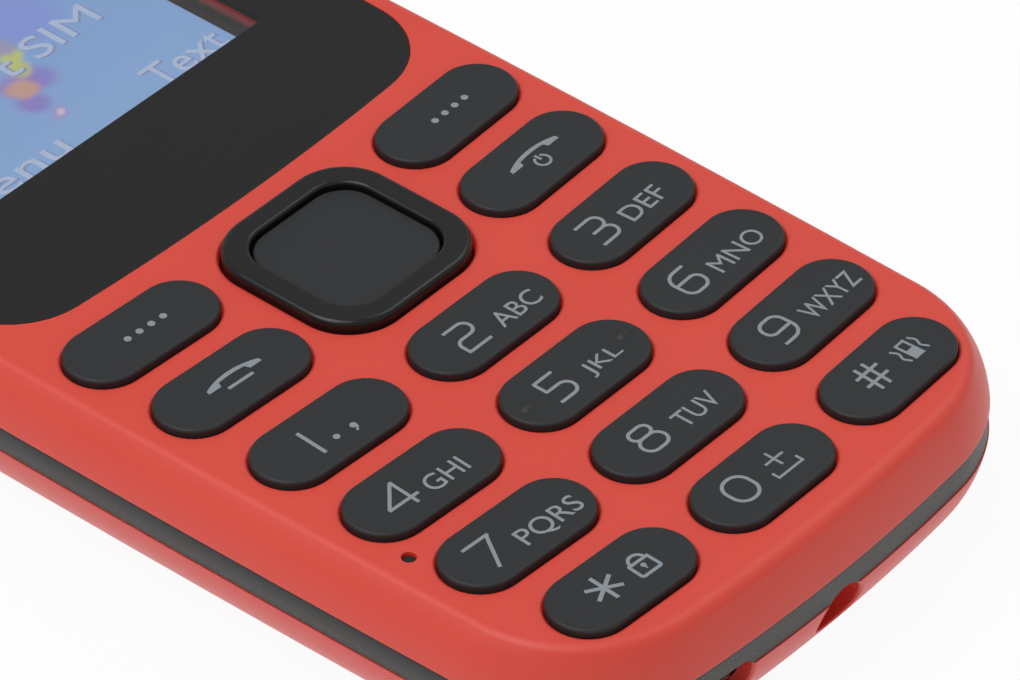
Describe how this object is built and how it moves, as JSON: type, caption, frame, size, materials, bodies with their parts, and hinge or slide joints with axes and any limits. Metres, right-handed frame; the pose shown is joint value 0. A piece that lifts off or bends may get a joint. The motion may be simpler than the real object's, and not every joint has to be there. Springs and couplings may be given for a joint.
{
  "type": "feature phone",
  "caption": "Candy-bar feature phone with a rubbery number keypad, a square four-way rocker, a small display under a tinted lens and a lift-off back cover.",
  "frame": {"origin": "on the flat back under the middle of the phone", "axes": "+X across to the right as seen from the front, +Y towards the earpiece, +Z out of the front face"},
  "size_m": [0.049, 0.1132, 0.0142],
  "materials": {
    "red_shell": "satin",
    "red_cover": "satin",
    "dark_band": "satin, fine grain",
    "key_plastic": "satin",
    "rocker_plastic": "semi-gloss",
    "lens": "tinted, glossy",
    "display": "lit display",
    "foam": "foam tape",
    "silicone": "matte",
    "white_plastic": "matte",
    "black_plastic": "matte",
    "board": "solder mask",
    "flex": "film",
    "steel": "plain",
    "contact": "plated",
    "battery_case": "labelled can"
  },
  "bodies": {
    "phone": {"front_housing": "red_shell", "rear_housing": "dark_band", "display_lens": "lens", "lens_adhesive": "foam", "display_panel": "display", "display_gasket": "foam", "display_frame": "white_plastic", "display_flex": "flex", "earpiece_mesh": "steel", "earpiece_gasket": "foam", "earpiece_speaker": "steel", "keypad_web": "silicone", "dome_film": "white_plastic", "key_domes": "steel", "keypad_leds": "white_plastic", "main_board": "board", "board_chips": "black_plastic", "shield_can_radio": "steel", "shield_can_base": "steel", "microphone": "steel", "microphone_boot": "silicone", "loudspeaker": "black_plastic", "vibrator_can": "steel", "charging_socket": "steel", "charging_tongue": "black_plastic", "sim_holder": "steel", "battery": "battery_case", "battery_connector": "black_plastic", "battery_blades": "contact", "antenna": "contact", "housing_screws": "steel"},
    "key_soft_left": {"key_soft_left": "key_plastic"},
    "key_soft_right": {"key_soft_right": "key_plastic"},
    "key_call": {"key_call": "key_plastic"},
    "key_end": {"key_end": "key_plastic"},
    "key_1": {"key_1": "key_plastic"},
    "key_2": {"key_2": "key_plastic"},
    "key_3": {"key_3": "key_plastic"},
    "key_4": {"key_4": "key_plastic"},
    "key_5": {"key_5": "key_plastic"},
    "key_6": {"key_6": "key_plastic"},
    "key_7": {"key_7": "key_plastic"},
    "key_8": {"key_8": "key_plastic"},
    "key_9": {"key_9": "key_plastic"},
    "key_star": {"key_star": "key_plastic"},
    "key_0": {"key_0": "key_plastic"},
    "key_hash": {"key_hash": "key_plastic"},
    "ok_key": {"ok_key": "rocker_plastic"},
    "nav_pad": {"nav_pad": "silicone"},
    "nav_ring": {"nav_ring": "rocker_plastic"},
    "back_cover": {"back_cover": "red_cover"},
    "vibrator_rotor": {"vibrator_shaft": "steel", "vibrator_weight": "steel"}
  },
  "joints": [
    {"name": "press_soft_left", "type": "slide", "parent": "phone", "child": "key_soft_left", "axis": [0, 0, -1], "range_m": [0, 0.0003], "stiffness_N_per_m": 3000},
    {"name": "press_soft_right", "type": "slide", "parent": "phone", "child": "key_soft_right", "axis": [0, 0, -1], "range_m": [0, 0.0003], "stiffness_N_per_m": 3000},
    {"name": "press_call", "type": "slide", "parent": "phone", "child": "key_call", "axis": [0, 0, -1], "range_m": [0, 0.0003], "stiffness_N_per_m": 3000},
    {"name": "press_end", "type": "slide", "parent": "phone", "child": "key_end", "axis": [0, 0, -1], "range_m": [0, 0.0003], "stiffness_N_per_m": 3000},
    {"name": "press_1", "type": "slide", "parent": "phone", "child": "key_1", "axis": [0, 0, -1], "range_m": [0, 0.0003], "stiffness_N_per_m": 3000},
    {"name": "press_2", "type": "slide", "parent": "phone", "child": "key_2", "axis": [0, 0, -1], "range_m": [0, 0.0003], "stiffness_N_per_m": 3000},
    {"name": "press_3", "type": "slide", "parent": "phone", "child": "key_3", "axis": [0, 0, -1], "range_m": [0, 0.0003], "stiffness_N_per_m": 3000},
    {"name": "press_4", "type": "slide", "parent": "phone", "child": "key_4", "axis": [0, 0, -1], "range_m": [0, 0.0003], "stiffness_N_per_m": 3000},
    {"name": "press_5", "type": "slide", "parent": "phone", "child": "key_5", "axis": [0, 0, -1], "range_m": [0, 0.0003], "stiffness_N_per_m": 3000},
    {"name": "press_6", "type": "slide", "parent": "phone", "child": "key_6", "axis": [0, 0, -1], "range_m": [0, 0.0003], "stiffness_N_per_m": 3000},
    {"name": "press_7", "type": "slide", "parent": "phone", "child": "key_7", "axis": [0, 0, -1], "range_m": [0, 0.0003], "stiffness_N_per_m": 3000},
    {"name": "press_8", "type": "slide", "parent": "phone", "child": "key_8", "axis": [0, 0, -1], "range_m": [0, 0.0003], "stiffness_N_per_m": 3000},
    {"name": "press_9", "type": "slide", "parent": "phone", "child": "key_9", "axis": [0, 0, -1], "range_m": [0, 0.0003], "stiffness_N_per_m": 3000},
    {"name": "press_star", "type": "slide", "parent": "phone", "child": "key_star", "axis": [0, 0, -1], "range_m": [0, 0.0003], "stiffness_N_per_m": 3000},
    {"name": "press_0", "type": "slide", "parent": "phone", "child": "key_0", "axis": [0, 0, -1], "range_m": [0, 0.0003], "stiffness_N_per_m": 3000},
    {"name": "press_hash", "type": "slide", "parent": "phone", "child": "key_hash", "axis": [0, 0, -1], "range_m": [0, 0.0003], "stiffness_N_per_m": 3000},
    {"name": "press_ok_key", "type": "slide", "parent": "phone", "child": "ok_key", "axis": [0, 0, -1], "range_m": [0, 0.0003], "stiffness_N_per_m": 3000},
    {"name": "rocker_left_right", "type": "hinge", "parent": "phone", "child": "nav_pad", "pos_m": [0, -0.0144, 0.01075], "axis": [0, 1, 0], "range_deg": [-1.7, 1.7], "stiffness_Nm_per_rad": 0.3},
    {"name": "rocker_up_down", "type": "hinge", "parent": "nav_pad", "child": "nav_ring", "pos_m": [0, -0.0144, 0.01075], "axis": [1, 0, 0], "range_deg": [-1.7, 1.7], "stiffness_Nm_per_rad": 0.3},
    {"name": "lift_off_cover", "type": "slide", "parent": "back_cover", "child": "phone", "axis": [0, 0, 1], "range_m": [0, 0.02]},
    {"name": "vibrator_spin", "type": "hinge", "parent": "phone", "child": "vibrator_rotor", "pos_m": [-0.00808, 0.041, 0.00475], "axis": [1, 0, 0], "continuous": true}
  ]
}
